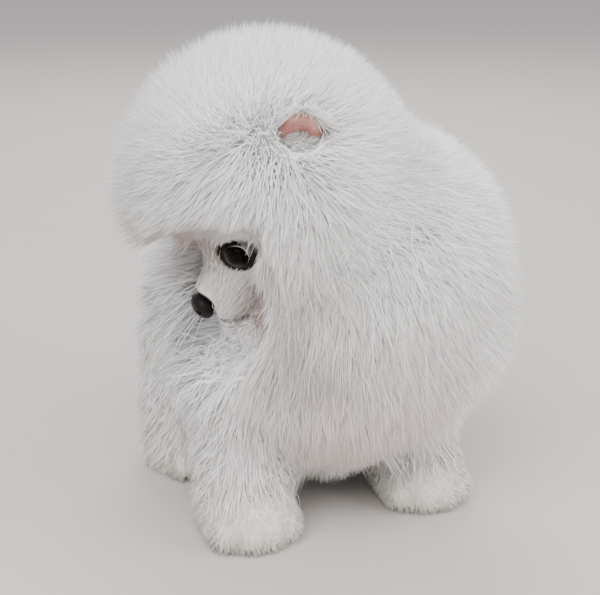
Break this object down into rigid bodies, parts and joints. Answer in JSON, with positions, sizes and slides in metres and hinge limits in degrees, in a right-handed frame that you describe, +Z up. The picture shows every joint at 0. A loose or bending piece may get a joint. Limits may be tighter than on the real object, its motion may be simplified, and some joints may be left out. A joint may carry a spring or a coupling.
{
  "type": "pomeranian puppy",
  "caption": "White, very fluffy Pomeranian puppy standing on its paws, head turned to its right and lowered, as a still life-size figure.",
  "frame": {"origin": "on the floor under the middle of the dog, at the centre of the bounding box's bottom face", "axes": "+Z up; the dog's body faces -Y, so its left side is +X, and its head is turned towards -X"},
  "size_m": [0.176, 0.1888, 0.2071],
  "materials": {
    "coat_white": "soft, dull fur",
    "coat_cream": "short, dull fur",
    "ear_skin": "soft skin under thin fur",
    "eye_dark": "wet and glossy",
    "nose_leather": "damp, satin"
  },
  "bodies": {
    "root": {"head": "coat_white", "neck": "coat_white", "torso": "coat_white", "tail": "coat_white", "foreleg_left": "coat_white", "foreleg_right": "coat_white", "hindleg_left": "coat_white", "hindleg_right": "coat_white", "forepaw_left": "coat_cream", "forepaw_right": "coat_cream", "hindpaw_left": "coat_cream", "hindpaw_right": "coat_cream", "ear_left": "ear_skin", "ear_right": "ear_skin", "eye_left": "eye_dark", "eye_right": "eye_dark", "nose": "nose_leather"}
  },
  "joints": []
}
